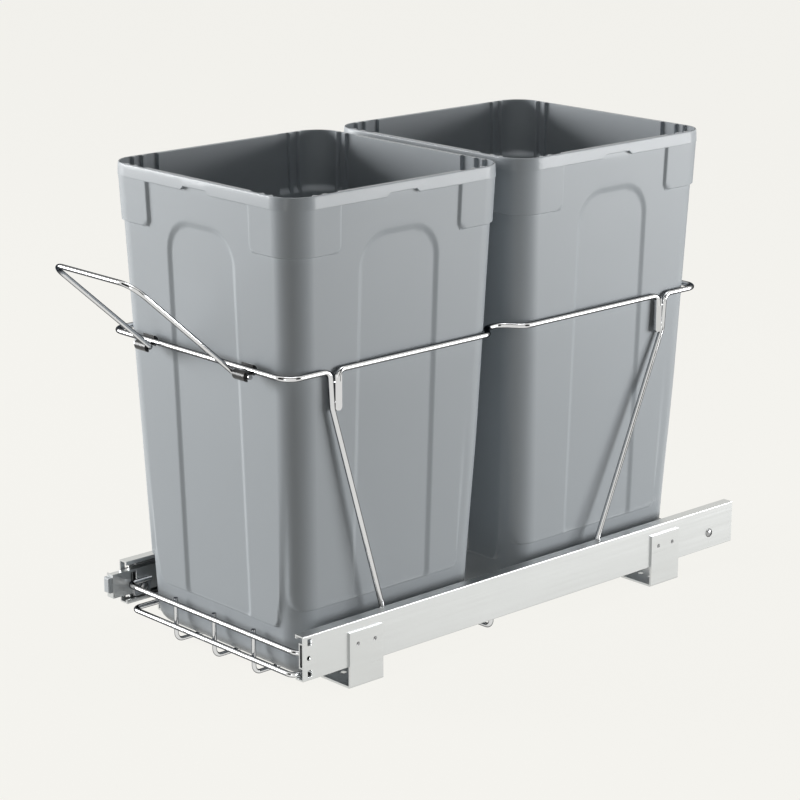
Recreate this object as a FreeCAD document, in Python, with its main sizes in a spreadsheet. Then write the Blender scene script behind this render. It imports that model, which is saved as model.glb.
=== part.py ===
"""Pull-out bin unit: two lift-out bins in a wire carriage on ball-bearing slides.

Frame: +Z up, -Y towards the front, where the handle is. The origin lies on the floor that the feet
stand on, midway between the four feet. Millimetres throughout. Heights that end in _height, _rise or
_drop count from the rails' underside, and distances that end in _set count from the right rail's front.
"""
import FreeCAD, Part
import math
import os
import Sketcher

SIZES = (
    # rails and slide members
    ("overall_width", 269.5, "over the outer faces of the two rails"),
    ("rail_front", 265.0, "from the origin forward to the right rail's front end"),
    ("rail_length", 559.0, "length of an outer rail"),
    ("rail_high", 41.2, "height of an outer rail"),
    ("rail_depth", 10.5, "depth of a rail's channel"),
    ("rail_wall", 1.4, "sheet of an outer rail"),
    ("rail_lip", 2.2, "lip along a rail's open edges"),
    ("left_set", 7.2, "how far the left rail sits behind the right one"),
    ("member_wall", 1.2, "sheet of the middle and inner members"),
    ("member_set", 12.0, "front end of a middle member, behind its rail's front"),
    ("member_length", 502.0, "length of a middle member"),
    ("inner_set", 4.0, "front end of the right inner member"),
    ("inner_end_set", 512.0, "rear end of both inner members"),
    ("left_nose", 12.5, "extra length of the left inner member at the front"),
    ("ball_diameter", 3.0, "slide ball"),
    ("ball_play", 0.1, "clearance between a ball and each race"),
    ("cage_wall", 0.5, "strip of a ball cage"),
    ("cage_play", 0.15, "clearance on each side of a ball cage"),
    ("cage_length", 232.0, "length of a ball cage"),
    ("outer_cage_set", 139.0, "front end of an outer ball cage"),
    ("inner_cage_set", 145.0, "front end of an inner ball cage"),
    ("ball_pitch", 32.0, "spacing of the balls in a row"),
    ("ball_count", 7, "balls in a row"),
    ("end_hole", 4.8, "width of the square holes in a rail's front end"),
    ("end_hole_set", 7.3, "centre of a rail's front holes, from the rail's front"),
    ("end_hole_spread", 14.4, "square holes above and below the round one"),
    # feet
    ("rail_lift", 19.5, "underside of the rails above the floor"),
    ("foot_spacing", 388.0, "front feet to rear feet, centre to centre"),
    ("foot_width", 39.0, "width of a foot along the rail"),
    ("foot_wall", 2.0, "sheet of a foot"),
    ("foot_reach", 38.8, "foot across the rail, its plate included"),
    ("foot_rise", 32.0, "top of a foot's plate"),
    ("foot_hole", 5.5, "diameter of a floor screw hole"),
    ("foot_hole_inset", 8.0, "inner floor hole from the foot's free edge"),
    ("foot_hole_gap", 13.0, "inner to outer floor hole"),
    ("rivet_diameter", 4.0, "rivets through plate and rail"),
    ("rivet_spacing", 19.8, "two rivets in each foot"),
    ("rivet_height", 20.4, "rivets above the rail's underside"),
    ("stop_set", 525.2, "rear stop's rivet behind its rail's front"),
    ("stop_height", 16.0, "rear stop's rivet above the rail's underside"),
    ("stop_length", 18.0, "rubber stop along the rail"),
    ("stop_play", 0.3, "middle member's end to the rubber stop"),
    ("stop_head", 8.5, "diameter of the stop rivet's round head"),
    # wire carriage
    ("hoop_wire", 5.0, "wire of the hoops and side wires"),
    ("base_wire", 5.0, "wire of the base's front, rear and ring"),
    ("floor_wire", 4.0, "wire of the floor"),
    ("cross_wire", 4.5, "wire of the middle cross piece"),
    ("ring_height", 264.9, "hoops and side wires"),
    ("ring_set", -2.4, "front of the front hoop"),
    ("ring_length", 513.9, "front of the front hoop to the back of the rear one"),
    ("ring_corner", 13.5, "bend radius of the hoops' corners"),
    ("front_drop_set", 44.0, "where the front hoop turns down"),
    ("rear_drop_set", 464.5, "where the rear hoop turns down"),
    ("drop_lean", 2.3, "how far a drop leans towards the middle"),
    ("drop_length", 32.9, "a hoop's drop, down to where the strut starts"),
    ("front_strut_set", 103.9, "foot of the front strut"),
    ("front_strut_rise", 36.5, "foot of the front strut, where its toe starts"),
    ("toe_length", 34.0, "toe of the front strut, which runs forward along the slide"),
    ("toe_rise", 26.0, "welded end of that toe"),
    ("rear_strut_set", 372.0, "foot of the rear strut"),
    ("rear_strut_rise", 26.0, "foot of the rear strut, where its weld stub starts"),
    ("stub_rise", 11.0, "lower end of that stub"),
    ("paddle_gap", 8.6, "drop to the middle of the paddle beside it"),
    ("paddle_width", 7.5, "flattened end of a side wire"),
    ("paddle_wall", 2.6, "thickness of a flattened end"),
    ("paddle_length", 32.0, "length of a flattened end"),
    ("nub_diameter", 2.4, "weld nub between drop and paddle"),
    ("dent_depth", 19.0, "dent in a side wire between the bins"),
    ("dent_floor", 18.0, "straight bottom of the dent"),
    ("dent_slope", 14.0, "length of each slope of the dent"),
    ("dent_set", 254.5, "middle of the dent"),
    ("base_set", 6.2, "front wires of the base"),
    ("base_length", 501.8, "front to rear wires of the base"),
    ("upper_height", 20.3, "upper front and rear wires"),
    ("upper_corner", 9.0, "bend radius at their ends"),
    ("lower_height", -1.6, "lower ring"),
    ("lower_room", 9.75, "rail's inner face to the middle of the lower ring's side"),
    ("lower_corner", 8.0, "bend radius of the lower ring"),
    ("floor_drop", 16.9, "floor wires below the rails' underside"),
    ("floor_spacing", 55.3, "floor wires side by side"),
    ("floor_tip_rise", 24.0, "turned-up tips of the floor wires"),
    ("floor_bend", 7.0, "bend radius of the floor wires"),
    ("cross_set", 237.5, "middle cross wire"),
    ("cross_tip_rise", 14.0, "turned-up ends of the cross wire"),
    ("tab_length", 18.0, "screwed tab of an upper wire"),
    ("tab_depth", 14.0, "height of that tab"),
    ("tab_wall", 1.5, "thickness of that tab"),
    ("screw_head", 9.0, "frame screw's head"),
    ("screw_head_high", 2.6, "height of that head"),
    ("screw_shank", 4.0, "frame screw's shank"),
    ("bumper_length", 4.0, "front bumper"),
    ("bumper_width", 8.0, "front bumper across"),
    ("bumper_high", 14.5, "front bumper's height"),
    # handle
    ("handle_wire", 4.6, "wire of the handle"),
    ("handle_reach", 138.0, "pivot to the grip's middle"),
    ("handle_angle", 41.4, "handle above the horizontal at rest"),
    ("handle_root", 56.8, "handle's leg at the pivot, from the middle"),
    ("handle_grip", 56.8, "half the grip's length between its corners"),
    ("handle_corner", 17.0, "bend radius of the grip's corners"),
    ("handle_root_bend", 4.0, "bend radius at the pivot"),
    ("handle_tip", 79.5, "end of the handle wire, from the middle"),
    ("pivot_forward", 5.6, "handle's pivot in front of the hoop wire"),
    ("pivot_drop", 4.2, "handle's pivot below the hoop wire"),
    ("pivot_play", 0.15, "clearance of the handle wire in its clip"),
    ("clip_middle", 68.3, "clip's middle from the unit's middle"),
    ("clip_width", 15.0, "clip along the hoop wire"),
    ("clip_wall", 2.3, "clip's plastic round each wire"),
    ("clip_play", 0.05, "clearance round the hoop wire"),
    ("hoop_mouth", 140.0, "direction of the clip's mouth for the hoop, in degrees from the rear"),
    ("handle_mouth", -40.0, "direction of the clip's mouth for the handle, in degrees from the rear"),
    ("mouth_half", 52.0, "half the opening of each mouth, in degrees"),
    # bins
    ("bin_high", 432.4, "a bin's height"),
    ("bin_draft", 2.19, "slope of a bin's sides, in degrees"),
    ("bin_wall", 2.5, "a bin's wall"),
    ("bin_corner", 23.5, "corner radius of a bin's walls"),
    ("bin_base_round", 20.0, "rounding under a bin"),
    ("bin_seat", 0.2, "bin's clearance to the floor wires"),
    ("bin_side_room", 1.2, "bin to side wire"),
    ("bin_front_room", 6.8, "front bin to front hoop, for the clips"),
    ("bin_rear_room", 1.8, "rear bin to rear hoop"),
    ("bins_apart", 31.9, "between the bins at the hoops' height"),
    ("rim_high", 11.5, "a bin's rim band"),
    ("rim_overhang", 3.2, "rim beyond the wall"),
    ("rim_corner", 28.0, "corner radius of the rim"),
    ("rim_round", 2.0, "rounding of the rim's upper edge"),
    ("notch_width", 40.0, "notch in the rim's lower edge"),
    ("notch_high", 2.4, "height of that notch"),
    ("pad_high", 40.5, "corner pads below the rim"),
    ("pad_overhang", 2.2, "corner pads beyond the wall"),
    ("pad_edge", 69.0, "inner edge of a corner pad, from the bin's middle"),
    ("panel_half", 44.0, "half the width of the sunk arch panel"),
    ("panel_depth", 1.1, "how deep the panel is sunk"),
    ("panel_corner", 34.0, "rounding of the arch's shoulders"),
    ("panel_top", 26.5, "arch's top below the rim"),
    ("panel_foot", 42.0, "panel's lower end above the bin's base"),
)

doc = FreeCAD.newDocument("pull_out_bin_unit")
sizes = doc.addObject("Spreadsheet::Sheet", "sizes")
for row, (alias, number, meaning) in enumerate(SIZES, start=1):
    sizes.set("A%d" % row, alias)
    sizes.set("B%d" % row, str(number))
    sizes.setAlias("B%d" % row, alias)
    sizes.set("C%d" % row, meaning)
doc.recompute()

# Places worked out from the driving sizes, as expressions on the sheet.
FRONT = "(-sizes.rail_front)"
FACE = "(sizes.overall_width / 2)"
INBOARD = "(sizes.overall_width / 2 - sizes.rail_depth)"
RACE = "(sizes.ball_diameter + 2 * sizes.ball_play)"
CAGE_ROOM = "(sizes.cage_wall + 2 * sizes.cage_play)"
MIDDLE_STEP = f"(sizes.rail_wall + {RACE})"
INNER_STEP = f"({MIDDLE_STEP} + sizes.member_wall + {RACE})"
MIDDLE_WEB = f"({FACE} - sizes.rail_wall - {CAGE_ROOM})"
INNER_FLANGE = f"({MIDDLE_WEB} - sizes.member_wall - {CAGE_ROOM})"
RING_HALF = f"({INBOARD} - sizes.hoop_wire / 2)"
RING_Z = "(sizes.rail_lift + sizes.ring_height)"
RING_Y = f"({FRONT} + sizes.ring_set)"
BASE_Y = f"({FRONT} + sizes.base_set)"
BASE_REAR_Y = f"({BASE_Y} + sizes.base_length)"
FLOOR_Z = "(sizes.rail_lift - sizes.floor_drop)"
PIVOT_Y = f"({RING_Y} - sizes.pivot_forward)"
PIVOT_Z = f"({RING_Z} - sizes.pivot_drop)"
BIN_BASE_Z = f"({FLOOR_Z} + sizes.floor_wire / 2 + sizes.bin_seat)"
BIN_HALF_X = f"({RING_HALF} - sizes.hoop_wire / 2 - sizes.bin_side_room)"
BIN_HALF_Y = ("((sizes.ring_length - sizes.hoop_wire - sizes.bin_front_room - sizes.bins_apart"
              " - sizes.bin_rear_room) / 4)")
BELOW_RING = f"(({RING_Z} - {BIN_BASE_Z}) * tan(sizes.bin_draft))"
RIM_BASE = "(sizes.bin_high - sizes.rim_high)"
ABOVE_RING = f"(({BIN_BASE_Z} + {RIM_BASE} - {RING_Z}) * tan(sizes.bin_draft))"
FRONT_BIN_Y = f"({RING_Y} + sizes.hoop_wire / 2 + sizes.bin_front_room + {BIN_HALF_Y})"
REAR_BIN_Y = f"({FRONT_BIN_Y} + 2 * {BIN_HALF_Y} + sizes.bins_apart)"
SIDES = (("right", 1), ("left", -1))
THROUGH = 4.0   # a cut runs this many sheet thicknesses, so that it always passes the sheet

nodes = []


def value(expression):
    """The number that an expression on the sheet gives."""
    result = sizes.evalExpression(str(expression))
    return float(getattr(result, "Value", result))


def node(item, label):
    """Give a finished sub-part its name."""
    item.Label = label
    nodes.append(item)
    return item


def bind(item, **expressions):
    """Bind properties to expressions; x, y and z stand for the place."""
    for name, expression in expressions.items():
        path = "Placement.Base." + name if name in ("x", "y", "z") else name
        item.setExpression(path, str(expression))


# ---------------------------------------------------------------- sketches

def origin_plane(body, role):
    """One of a body's own origin planes."""
    return next(item for item in body.Origin.OriginFeatures if item.Role == role)


def new_sketch(body, role, offset="0"):
    """An empty sketch on a plane of the body, moved along the plane's normal."""
    sketch = body.newObject("Sketcher::SketchObject", body.Name + "_sketch")
    sketch.AttachmentSupport = [(origin_plane(body, role), "")]
    sketch.MapMode = "FlatFace"
    sketch.setExpression("AttachmentOffset.Base.z", str(offset))
    return sketch


def pin_point(sketch, curve, end, x, y):
    """Hold a point of a curve at bound distances from the sketch's origin."""
    for kind, aligned, expression in (("DistanceX", "Vertical", x), ("DistanceY", "Horizontal", y)):
        if expression == "0":
            sketch.addConstraint(Sketcher.Constraint(aligned, -1, 1, curve, end))
            continue
        index = sketch.addConstraint(Sketcher.Constraint(kind, -1, 1, curve, end, value(expression)))
        sketch.setExpression("Constraints[%d]" % index, str(expression))


def polygon(sketch, corners):
    """Closed outline of straight lines through bound corners."""
    places = [FreeCAD.Vector(value(x), value(y), 0) for x, y in corners]
    lines = []
    for start, end in zip(places, places[1:] + places[:1]):
        lines.append(sketch.addGeometry(Part.LineSegment(start, end), False))
    for line, following in zip(lines, lines[1:] + lines[:1]):
        sketch.addConstraint(Sketcher.Constraint("Coincident", line, 2, following, 1))
    for line, (x, y) in zip(lines, corners):
        pin_point(sketch, line, 1, x, y)


def rectangle(sketch, x0, y0, x1, y1):
    """Bound rectangle from one corner to the other."""
    polygon(sketch, ((x0, y0), (x1, y0), (x1, y1), (x0, y1)))


def circle(sketch, x, y, diameter):
    """Bound circle."""
    centre = FreeCAD.Vector(value(x), value(y), 0)
    ring = Part.Circle(centre, FreeCAD.Vector(0, 0, 1), value(diameter) / 2)
    curve = sketch.addGeometry(ring, False)
    pin_point(sketch, curve, 3, x, y)
    index = sketch.addConstraint(Sketcher.Constraint("Diameter", curve, value(diameter)))
    sketch.setExpression("Constraints[%d]" % index, str(diameter))


def rounded(sketch, corners, radii):
    """Closed outline of lines, each corner rounded by its bound radius, or sharp where that is 0.

    The corners go anticlockwise, and the lines run along the sketch's two axes.
    """
    count = len(corners)
    xs = [value(x) for x, y in corners]
    ys = [value(y) for x, y in corners]
    starts = []
    ends = []
    for i in range(count):
        before = FreeCAD.Vector(xs[i - 1] - xs[i], ys[i - 1] - ys[i], 0).normalize()
        after = FreeCAD.Vector(xs[(i + 1) % count] - xs[i], ys[(i + 1) % count] - ys[i], 0).normalize()
        corner = FreeCAD.Vector(xs[i], ys[i], 0)
        radius = value(radii[i])
        starts.append(corner + before * radius)
        ends.append(corner + after * radius)
    lines = []
    for i in range(count):
        lines.append(sketch.addGeometry(Part.LineSegment(ends[i], starts[(i + 1) % count]), False))
    for i in range(count):
        entering = lines[i - 1]
        leaving = lines[i]
        upright = abs(starts[i].x - xs[i]) < 1e-9
        if radii[i] == "0":
            sketch.addConstraint(Sketcher.Constraint("Coincident", entering, 2, leaving, 1))
            pin_point(sketch, leaving, 1, *corners[i])
            continue
        centre = starts[i] + ends[i] - FreeCAD.Vector(xs[i], ys[i], 0)
        first = math.atan2(starts[i].y - centre.y, starts[i].x - centre.x)
        last = math.atan2(ends[i].y - centre.y, ends[i].x - centre.x)
        round_corner = Part.Circle(centre, FreeCAD.Vector(0, 0, 1), value(radii[i]))
        arc = sketch.addGeometry(Part.ArcOfCircle(round_corner, first, last), False)
        sketch.addConstraint(Sketcher.Constraint("Coincident", entering, 2, arc, 1))
        sketch.addConstraint(Sketcher.Constraint("Coincident", arc, 2, leaving, 1))
        across = "Horizontal" if upright else "Vertical"
        along = "Vertical" if upright else "Horizontal"
        sketch.addConstraint(Sketcher.Constraint(across, arc, 1, arc, 3))
        sketch.addConstraint(Sketcher.Constraint(along, arc, 2, arc, 3))
        index = sketch.addConstraint(Sketcher.Constraint("Radius", arc, value(radii[i])))
        sketch.setExpression("Constraints[%d]" % index, str(radii[i]))
        inward_x = 1 if centre.x > xs[i] else -1
        inward_y = 1 if centre.y > ys[i] else -1
        pin_point(sketch, arc, 3, f"{corners[i][0]} + {inward_x} * {radii[i]}",
                  f"{corners[i][1]} + {inward_y} * {radii[i]}")


def rounded_box(sketch, half_x, half_y, radius):
    """Rectangle about the sketch's origin with four equal round corners."""
    corners = ((half_x, f"-{half_y}"), (half_x, half_y), (f"-{half_x}", half_y), (f"-{half_x}", f"-{half_y}"))
    rounded(sketch, corners, (radius,) * 4)


# ---------------------------------------------------------------- features

def new_body(name):
    """An empty body."""
    return doc.addObject("PartDesign::Body", name)


def pad(body, sketch, length, backwards=False, midplane=False):
    """Extrude a sketch along its normal, or the other way."""
    feature = body.newObject("PartDesign::Pad", body.Name + "_pad")
    feature.Profile = sketch
    feature.Reversed = backwards
    feature.Midplane = midplane
    feature.setExpression("Length", str(length))
    return feature


def pocket(body, sketch, depth):
    """Cut a sketch into the body, half its depth to each side of the sketch."""
    doc.recompute()
    before = body.Shape.Volume
    feature = body.newObject("PartDesign::Pocket", body.Name + "_pocket")
    feature.Profile = sketch
    feature.Midplane = True
    feature.setExpression("Length", str(depth))
    doc.recompute()
    if not body.Shape.Volume < before:
        raise ValueError(body.Name + ": a pocket cuts nothing")
    return feature


def round_edges(body, wanted, radius):
    """Round the edges of the body's last shape that pass a test."""
    doc.recompute()
    tip = body.Tip
    names = ["Edge%d" % (i + 1) for i, edge in enumerate(tip.Shape.Edges) if wanted(edge)]
    if not names:
        raise ValueError(body.Name + ": no edge to round")
    feature = body.newObject("PartDesign::Fillet", body.Name + "_fillet")
    feature.Base = (tip, names)
    feature.setExpression("Radius", str(radius))
    return feature


def flat_at(height):
    """A test for edges that lie level at a height."""
    return lambda edge: abs(edge.BoundBox.ZMin - height) < 0.01 and abs(edge.BoundBox.ZMax - height) < 0.01


def bent_rod(points, radii, diameter, closed=False):
    """Solid of a round wire: straight runs joined by arcs of the given radii."""
    places = [FreeCAD.Vector(*point) for point in points]
    count = len(places)
    corners = range(count) if closed else range(1, count - 1)
    cut = {}
    for i in corners:
        before = (places[i - 1] - places[i]).normalize()
        after = (places[(i + 1) % count] - places[i]).normalize()
        half = before.getAngle(after) / 2
        reach = radii[i] / math.tan(half)
        middle = places[i] + (before + after).normalize() * (radii[i] / math.sin(half) - radii[i])
        cut[i] = (places[i] + before * reach, middle, places[i] + after * reach)
    edges = []
    for i in range(count if closed else count - 1):
        j = (i + 1) % count
        start = cut[i][2] if i in cut else places[i]
        end = cut[j][0] if j in cut else places[j]
        edges.append(Part.LineSegment(start, end).toShape())
        if j in cut:
            edges.append(Part.Arc(*cut[j]).toShape())
    path = Part.Wire(edges)
    first = edges[0]
    start = first.Vertexes[0].Point
    along = first.Vertexes[1].Point - start
    section = Part.Wire(Part.makeCircle(diameter / 2, start, along))
    solid = path.makePipeShell([section], True, False)
    if solid.Volume < 0:
        solid.reverse()
    return solid


def mirrored_route(half, radii):
    """A route given on the right side, continued by its mirror image on the left."""
    other = [(-x, y, z) for x, y, z in reversed(half)]
    return list(half) + other, list(radii) + list(reversed(radii))


def shaped(label, shape):
    """A sub-part whose shape is made by Part's own functions."""
    item = doc.addObject("Part::Feature", label)
    item.Shape = shape
    item.Placement = FreeCAD.Placement()
    return node(item, label)


def group(label, members):
    """One sub-part of several separate solids."""
    item = doc.addObject("Part::Compound", label)
    item.Links = members
    return node(item, label)


# ---------------------------------------------------------------- slides

def channel(body, side, back, front_edge, low, high, wall):
    """Sketch of a plain C across the unit, its web at `back` and its flanges out to `front_edge`."""
    sketch = new_sketch(body, "XZ_Plane", "0")
    toward = "-" if value(back) > value(front_edge) else "+"
    web = f"{side} * {back}"
    inside = f"{side} * ({back} {toward} {wall})"
    edge = f"{side} * {front_edge}"
    polygon(sketch, ((web, low), (edge, low), (edge, f"{low} + {wall}"), (inside, f"{low} + {wall}"),
                     (inside, f"{high} - {wall}"), (edge, f"{high} - {wall}"), (edge, high), (web, high)))
    return sketch


def levels(step):
    """Lower and upper face of a slide member that stands `step` inside the rail."""
    return f"(sizes.rail_lift + {step})", f"(sizes.rail_lift + sizes.rail_high - {step})"


def behind(side, distance):
    """A distance behind a rail's own front end, as a place along Y."""
    late = " + sizes.left_set" if side < 0 else ""
    return f"({FRONT}{late} + {distance})"


def outer_rail(name, side):
    """Channel with lips along its open edges, holes in its front end and for its rivets."""
    body = new_body(name)
    low, high = levels("0")
    sketch = new_sketch(body, "XZ_Plane")
    face = f"{side} * {FACE}"
    web = f"{side} * ({FACE} - sizes.rail_wall)"
    edge = f"{side} * {INBOARD}"
    lip = f"{side} * ({INBOARD} + sizes.rail_wall)"
    floor = f"{low} + sizes.rail_wall"
    roof = f"{high} - sizes.rail_wall"
    polygon(sketch, ((face, low), (edge, low), (edge, f"{floor} + sizes.rail_lip"),
                     (lip, f"{floor} + sizes.rail_lip"), (lip, floor), (web, floor), (web, roof),
                     (lip, roof), (lip, f"{roof} - sizes.rail_lip"), (edge, f"{roof} - sizes.rail_lip"),
                     (edge, high), (face, high)))
    pad(body, sketch, "sizes.rail_length", backwards=True)
    bind(body, y=behind(side, "0"))
    corner = value(FACE)
    round_edges(body, lambda line: abs(abs(line.BoundBox.XMin) - corner) < 0.01
                and line.BoundBox.XLength < 0.01 and line.BoundBox.ZLength < 0.01, "sizes.rail_wall * 0.7")
    holes = new_sketch(body, "YZ_Plane", face)
    middle = f"({low} + sizes.rail_high / 2)"
    circle(holes, "sizes.end_hole_set - 1", middle, "sizes.end_hole * 0.9")
    for way in (1, -1):
        height = f"({middle} + {way} * sizes.end_hole_spread)"
        rectangle(holes, "sizes.end_hole_set - sizes.end_hole / 2", f"{height} - sizes.end_hole * 0.65",
                  "sizes.end_hole_set + sizes.end_hole / 2", f"{height} + sizes.end_hole * 0.65")
    for place in foot_rivet_places():
        circle(holes, f"{place} - {behind(side, '0')}", "sizes.rail_lift + sizes.rivet_height",
               "sizes.rivet_diameter")
    circle(holes, "sizes.stop_set", "sizes.rail_lift + sizes.stop_height", "sizes.rivet_diameter")
    pocket(body, holes, "sizes.rail_wall * %s" % THROUGH)
    return node(body, name)


def middle_member(name, side):
    """Channel that opens towards the inner member and runs between the two ball cages."""
    body = new_body(name)
    low, high = levels(MIDDLE_STEP)
    edge = f"({INBOARD} + 1)"
    sketch = channel(body, side, MIDDLE_WEB, edge, low, high, "sizes.member_wall")
    pad(body, sketch, "sizes.member_length", backwards=True)
    bind(body, y=behind(side, "sizes.member_set"))
    return node(body, name)


def inner_member(name, side):
    """Channel that carries the wire frame; the left one is longer and ends in a flange."""
    body = new_body(name)
    low, high = levels(INNER_STEP)
    sketch = channel(body, side, INBOARD, INNER_FLANGE, low, high, "sizes.member_wall")
    nose = "sizes.left_nose" if side < 0 else "0"
    start = f"(sizes.inner_set - {nose})"
    pad(body, sketch, f"sizes.inner_end_set - {start}", backwards=True)
    bind(body, y=f"{FRONT} + {start}")
    if side < 0:
        flange = new_sketch(body, "XZ_Plane")
        rectangle(flange, f"{side} * {INBOARD}", low, f"{side} * ({FACE} - sizes.rail_wall)", high)
        pad(body, flange, "sizes.member_wall", backwards=True)
    holes = new_sketch(body, "YZ_Plane", f"{side} * {INBOARD}")
    for place in screw_places():
        circle(holes, f"{place} - {FRONT} - {start}", SCREW_Z, "sizes.screw_shank")
    window = f"(sizes.base_set + sizes.tab_length / 2 - {start})"
    rectangle(holes, f"{window} - 3.5", SCREW_Z + " + sizes.screw_head * 0.6", f"{window} + 3.5",
              f"{high} - 2 * sizes.member_wall")
    pocket(body, holes, "sizes.member_wall * %s" % THROUGH)
    return node(body, name)


def cage(name, side, back, step, front_set, edge_x, ball_x):
    """Thin C strip with a row of ball holes in each flange."""
    body = new_body(name)
    low, high = levels(f"({step} - {RACE} / 2 - sizes.cage_wall / 2)")
    sketch = channel(body, side, back, edge_x, low, high, "sizes.cage_wall")
    pad(body, sketch, "sizes.cage_length", backwards=True)
    bind(body, y=behind(side, front_set))
    hole = new_sketch(body, "XY_Plane", "sizes.rail_lift + sizes.rail_high / 2")
    first = "((sizes.cage_length - (sizes.ball_count - 1) * sizes.ball_pitch) / 2)"
    circle(hole, f"{side} * {ball_x}", first, f"{RACE} + 2 * sizes.ball_play")
    cut = pocket(body, hole, "2 * sizes.rail_high")
    pattern = body.newObject("PartDesign::LinearPattern", name + "_pattern")
    pattern.Originals = [cut]
    pattern.Direction = (hole, ["V_Axis"])
    pattern.setExpression("Length", "(sizes.ball_count - 1) * sizes.ball_pitch")
    pattern.setExpression("Occurrences", "sizes.ball_count")
    body.Tip = pattern
    return node(body, name)


def balls(name, side, step, front_set, ball_x):
    """The balls of one cage: a row above and a row below."""
    low, high = levels(f"({step} - {RACE} / 2)")
    first = "((sizes.cage_length - (sizes.ball_count - 1) * sizes.ball_pitch) / 2)"
    members = []
    for height in (low, high):
        for index in range(int(value("sizes.ball_count"))):
            ball = doc.addObject("Part::Sphere", "ball")
            place = behind(side, f"{front_set} + {first} + {index} * sizes.ball_pitch")
            bind(ball, Radius="sizes.ball_diameter / 2", x=f"{side} * {ball_x}", y=place, z=height)
            members.append(ball)
    return group(name, members)


def foot_rivet_places():
    """Where the feet's rivets are along Y."""
    return [f"({end} * sizes.foot_spacing / 2 + {way} * sizes.rivet_spacing / 2)"
            for end in (-1, 1) for way in (-1, 1)]


def slides():
    """Both slides with their members, cages, balls and rear stops."""
    outer_ball = f"(({MIDDLE_WEB} + {INBOARD}) / 2 + sizes.rail_wall / 2)"
    inner_ball = f"(({INNER_FLANGE} + {INBOARD} + sizes.member_wall) / 2)"
    outer_back = f"({FACE} - sizes.rail_wall - sizes.cage_play)"
    inner_back = f"({MIDDLE_WEB} - sizes.member_wall - sizes.cage_play)"
    outer_edge = f"({INBOARD} + sizes.rail_wall + 0.5)"
    inner_edge = f"({INBOARD} + sizes.member_wall + 0.5)"
    for word, side in SIDES:
        outer_rail("outer_rail_" + word, side)
        middle_member("middle_member_" + word, side)
        inner_member("inner_member_" + word, side)
        cage("outer_ball_cage_" + word, side, outer_back, MIDDLE_STEP, "sizes.outer_cage_set",
             outer_edge, outer_ball)
        balls("outer_balls_" + word, side, MIDDLE_STEP, "sizes.outer_cage_set", outer_ball)
        cage("inner_ball_cage_" + word, side, inner_back, INNER_STEP, "sizes.inner_cage_set",
             inner_edge, inner_ball)
        balls("inner_balls_" + word, side, INNER_STEP, "sizes.inner_cage_set", inner_ball)


def rear_stops():
    """Rubber blocks in the rails behind the middle members, and the round-headed rivets that hold them."""
    blocks = []
    rivets = []
    for word, side in SIDES:
        low, high = levels(MIDDLE_STEP)
        inner_x = f"({INBOARD} + sizes.rail_wall)"
        outer_x = f"({FACE} - sizes.rail_wall)"
        start = behind(side, "sizes.member_set + sizes.member_length + sizes.stop_play")
        block = doc.addObject("Part::Box", "stop_block_" + word)
        bind(block, Length=f"{outer_x} - {inner_x}", Width="sizes.stop_length", Height=f"{high} - {low}",
             x=inner_x if side > 0 else f"-{outer_x}", y=start, z=low)
        blocks.append(block)
        place = behind(side, "sizes.stop_set")
        shank = doc.addObject("Part::Cylinder", "stop_shank_" + word)
        bind(shank, Radius="sizes.rivet_diameter / 2", Height="sizes.rail_wall",
             x=f"{side} * ({FACE} - sizes.rail_wall)", y=place, z="sizes.rail_lift + sizes.stop_height")
        head = doc.addObject("Part::Ellipsoid", "stop_head_" + word)
        bind(head, Radius1="sizes.stop_head / 4", Radius2="sizes.stop_head / 2",
             x=f"{side} * {FACE}", y=place, z="sizes.rail_lift + sizes.stop_height")
        head.Angle1 = 0
        for item in (shank, head):
            item.Placement.Rotation = FreeCAD.Rotation(FreeCAD.Vector(0, 1, 0), 90 * side)
        rivet = doc.addObject("Part::Fuse", "stop_rivet_" + word)
        rivet.Base = shank
        rivet.Tool = head
        rivets.append(rivet)
    group("rear_stops", blocks)
    group("rear_stop_rivets", rivets)


# ---------------------------------------------------------------- feet

def foot(name, side, end):
    """Bent sheet foot: a plate outside the rail, turned in under it, with two floor screw holes."""
    body = new_body(name)
    outside = f"{side} * ({FACE} + sizes.foot_wall)"
    face = f"{side} * {FACE}"
    free = f"{side} * ({FACE} + sizes.foot_wall - sizes.foot_reach)"
    top = "(sizes.rail_lift + sizes.foot_rise)"
    sketch = new_sketch(body, "XZ_Plane")
    polygon(sketch, ((outside, "0"), (outside, top), (face, top), (face, "sizes.foot_wall"),
                     (free, "sizes.foot_wall"), (free, "0")))
    pad(body, sketch, "sizes.foot_width", midplane=True)
    bind(body, y=f"{end} * sizes.foot_spacing / 2")
    outer = value(FACE) + value("sizes.foot_wall")
    round_edges(body, lambda edge: abs(edge.BoundBox.ZMax) < 0.01 and edge.BoundBox.XLength < 0.01
                and abs(abs(edge.BoundBox.XMin) - outer) < 0.01, "sizes.foot_wall")
    floor_holes = new_sketch(body, "XY_Plane")
    for x in foot_hole_places():
        circle(floor_holes, f"{side} * {x}", "0", "sizes.foot_hole")
    pocket(body, floor_holes, "sizes.foot_wall * %s" % THROUGH)
    rivet_holes = new_sketch(body, "YZ_Plane", face)
    for way in (-1, 1):
        circle(rivet_holes, f"{way} * sizes.rivet_spacing / 2", "sizes.rail_lift + sizes.rivet_height",
               "sizes.rivet_diameter")
    pocket(body, rivet_holes, "sizes.foot_wall * %s" % THROUGH)
    return node(body, name)


def foot_hole_places():
    """Distances of a foot's two floor holes from the unit's middle plane."""
    inner = f"({FACE} + sizes.foot_wall - sizes.foot_reach + sizes.foot_hole_inset)"
    return inner, f"({inner} + sizes.foot_hole_gap)"


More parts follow.
